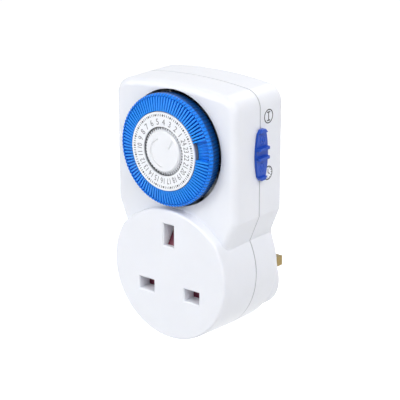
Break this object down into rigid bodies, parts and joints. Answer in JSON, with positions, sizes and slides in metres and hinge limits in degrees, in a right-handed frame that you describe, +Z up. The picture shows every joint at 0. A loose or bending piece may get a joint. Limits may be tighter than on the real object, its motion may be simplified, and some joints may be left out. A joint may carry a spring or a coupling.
{
  "type": "plug-in timer switch",
  "caption": "Plug-in mechanical timer: a shuttered three-pin through-socket under a 24 hour dial of push-down tappets, with a side override slider and a three-pin plug behind.",
  "frame": {"origin": "on the plug base, the flat face that meets the wall outlet, level with the centre of the socket boss", "axes": "+X right seen from the front, +Y into the wall, +Z up; the dial and the socket face -Y"},
  "size_m": [0.0605, 0.0636, 0.1013],
  "materials": {
    "housing": "moulded white, satin gloss",
    "ring": "moulded mid blue",
    "tappet": "moulded mid blue",
    "scale": "moulded white with a black printed 24 hour scale",
    "knob": "moulded white",
    "slider": "moulded dark blue",
    "shutter": "moulded maroon",
    "carrier": "moulded cream, glass filled",
    "pin_brass": "drawn brass",
    "sleeve": "moulded black",
    "clip_bronze": "rolled phosphor bronze strip",
    "contact_silver": "silver rivet",
    "steel_plate": "zinc plated sheet",
    "steel_turned": "turned steel",
    "screw_steel": "zinc plated screws",
    "spring_steel": "spring steel",
    "gear_nylon": "moulded natural nylon",
    "trip_nylon": "moulded orange nylon",
    "motor_steel": "drawn steel cup",
    "gearbox_alloy": "die cast",
    "bobbin": "moulded green",
    "copper_wire": "enamelled copper winding",
    "rotor_magnet": "moulded magnet",
    "lead_pvc": "insulated wire"
  },
  "bodies": {
    "housing": {"front_shell": "housing", "rear_shell": "housing", "housing_screws": "screw_steel", "chassis_plate": "steel_plate", "chassis_screws": "screw_steel", "gear_pins": "steel_turned", "dial_axle": "steel_turned", "motor_gearbox": "gearbox_alloy", "motor_case": "motor_steel", "motor_bobbin": "bobbin", "motor_winding": "copper_wire", "motor_screws": "screw_steel", "motor_leads": "lead_pvc", "socket_carrier": "carrier", "line_clip": "clip_bronze", "neutral_clip": "clip_bronze", "earth_clip": "clip_bronze", "line_strap": "clip_bronze", "fixed_contact": "contact_silver", "line_pin": "pin_brass", "neutral_pin": "pin_brass", "earth_pin": "pin_brass", "pin_sleeves": "sleeve", "shutter_spring": "spring_steel"},
    "dial": {"dial_ring": "ring", "dial_scale": "scale", "dial_knob": "knob", "clutch_washer": "spring_steel"},
    "tappets_01": {"tappets_01": "tappet"},
    "tappets_02": {"tappets_02": "tappet"},
    "tappets_03": {"tappets_03": "tappet"},
    "tappets_04": {"tappets_04": "tappet"},
    "tappets_05": {"tappets_05": "tappet"},
    "tappets_06": {"tappets_06": "tappet"},
    "tappets_07": {"tappets_07": "tappet"},
    "tappets_08": {"tappets_08": "tappet"},
    "tappets_09": {"tappets_09": "tappet"},
    "tappets_10": {"tappets_10": "tappet"},
    "tappets_11": {"tappets_11": "tappet"},
    "tappets_12": {"tappets_12": "tappet"},
    "tappets_13": {"tappets_13": "tappet"},
    "tappets_14": {"tappets_14": "tappet"},
    "tappets_15": {"tappets_15": "tappet"},
    "tappets_16": {"tappets_16": "tappet"},
    "day_gear": {"dial_gear": "gear_nylon"},
    "slow_compound_gear": {"slow_gear": "gear_nylon"},
    "fast_compound_gear": {"fast_gear": "gear_nylon"},
    "motor_pinion": {"output_pinion": "steel_turned"},
    "rotor": {"motor_rotor": "rotor_magnet"},
    "slider": {"override_slider": "slider"},
    "plunger": {"trip_plunger": "trip_nylon"},
    "leaf": {"contact_leaf": "clip_bronze", "moving_contact": "contact_silver"},
    "socket_shutter": {"shutter": "shutter"}
  },
  "joints": [
    {"name": "dial_turn", "type": "hinge", "parent": "housing", "child": "dial", "pos_m": [0, 0, 0.0485], "axis": [0, -1, 0], "continuous": true},
    {"name": "tappets_01_press", "type": "slide", "parent": "dial", "child": "tappets_01", "axis": [0, 1, 0], "range_m": [-0.00195, 0]},
    {"name": "tappets_02_press", "type": "slide", "parent": "dial", "child": "tappets_02", "axis": [0, 1, 0], "range_m": [0, 0.00195]},
    {"name": "tappets_03_press", "type": "slide", "parent": "dial", "child": "tappets_03", "axis": [0, 1, 0], "range_m": [0, 0.00195]},
    {"name": "tappets_04_press", "type": "slide", "parent": "dial", "child": "tappets_04", "axis": [0, 1, 0], "range_m": [0, 0.00195]},
    {"name": "tappets_05_press", "type": "slide", "parent": "dial", "child": "tappets_05", "axis": [0, 1, 0], "range_m": [0, 0.00195]},
    {"name": "tappets_06_press", "type": "slide", "parent": "dial", "child": "tappets_06", "axis": [0, 1, 0], "range_m": [0, 0.00195]},
    {"name": "tappets_07_press", "type": "slide", "parent": "dial", "child": "tappets_07", "axis": [0, 1, 0], "range_m": [0, 0.00195]},
    {"name": "tappets_08_press", "type": "slide", "parent": "dial", "child": "tappets_08", "axis": [0, 1, 0], "range_m": [0, 0.00195]},
    {"name": "tappets_09_press", "type": "slide", "parent": "dial", "child": "tappets_09", "axis": [0, 1, 0], "range_m": [0, 0.00195]},
    {"name": "tappets_10_press", "type": "slide", "parent": "dial", "child": "tappets_10", "axis": [0, 1, 0], "range_m": [0, 0.00195]},
    {"name": "tappets_11_press", "type": "slide", "parent": "dial", "child": "tappets_11", "axis": [0, 1, 0], "range_m": [0, 0.00195]},
    {"name": "tappets_12_press", "type": "slide", "parent": "dial", "child": "tappets_12", "axis": [0, 1, 0], "range_m": [0, 0.00195]},
    {"name": "tappets_13_press", "type": "slide", "parent": "dial", "child": "tappets_13", "axis": [0, 1, 0], "range_m": [0, 0.00195]},
    {"name": "tappets_14_press", "type": "slide", "parent": "dial", "child": "tappets_14", "axis": [0, 1, 0], "range_m": [0, 0.00195]},
    {"name": "tappets_15_press", "type": "slide", "parent": "dial", "child": "tappets_15", "axis": [0, 1, 0], "range_m": [0, 0.00195]},
    {"name": "tappets_16_press", "type": "slide", "parent": "dial", "child": "tappets_16", "axis": [0, 1, 0], "range_m": [0, 0.00195]},
    {"name": "dial_gear_turn", "type": "hinge", "parent": "housing", "child": "day_gear", "pos_m": [0, 0, 0.0485], "axis": [0, -1, 0], "continuous": true},
    {"name": "slow_gear_turn", "type": "hinge", "parent": "housing", "child": "slow_compound_gear", "pos_m": [-0.01237, 0, 0.03613], "axis": [0, -1, 0], "continuous": true},
    {"name": "fast_gear_turn", "type": "hinge", "parent": "housing", "child": "fast_compound_gear", "pos_m": [-0.01601, 0, 0.04544], "axis": [0, -1, 0], "continuous": true},
    {"name": "output_turn", "type": "hinge", "parent": "housing", "child": "motor_pinion", "pos_m": [-0.0084, 0, 0.05194], "axis": [0, -1, 0], "continuous": true},
    {"name": "rotor_spin", "type": "hinge", "parent": "housing", "child": "rotor", "pos_m": [-0.0084, 0, 0.05194], "axis": [0, -1, 0], "continuous": true},
    {"name": "override_slide", "type": "slide", "parent": "housing", "child": "slider", "axis": [0, 0, 1], "range_m": [0, 0.00535]},
    {"name": "plunger_slide", "type": "slide", "parent": "housing", "child": "plunger", "axis": [0, 1, 0], "range_m": [0, 0.0019]},
    {"name": "leaf_bend", "type": "hinge", "parent": "housing", "child": "leaf", "pos_m": [0.01682, -0.0134, 0.028], "axis": [-1, 0, 0], "range_deg": [0, 7.6]},
    {"name": "shutter_slide", "type": "slide", "parent": "housing", "child": "socket_shutter", "axis": [0, 0, -1], "range_m": [0, 0.0055], "stiffness_N_per_m": 60, "springref_m": -0.004, "deforming": ["shutter_spring"]}
  ],
  "couplings": [
    {"joint": "slow_gear_turn", "follows": "dial_gear_turn", "ratio": -6},
    {"joint": "fast_gear_turn", "follows": "dial_gear_turn", "ratio": 24},
    {"joint": "output_turn", "follows": "dial_gear_turn", "ratio": -96},
    {"joint": "plunger_slide", "follows": "override_slide", "ratio": 0.355},
    {"joint": "leaf_bend", "follows": "override_slide", "rad_per_m": 24.691}
  ]
}
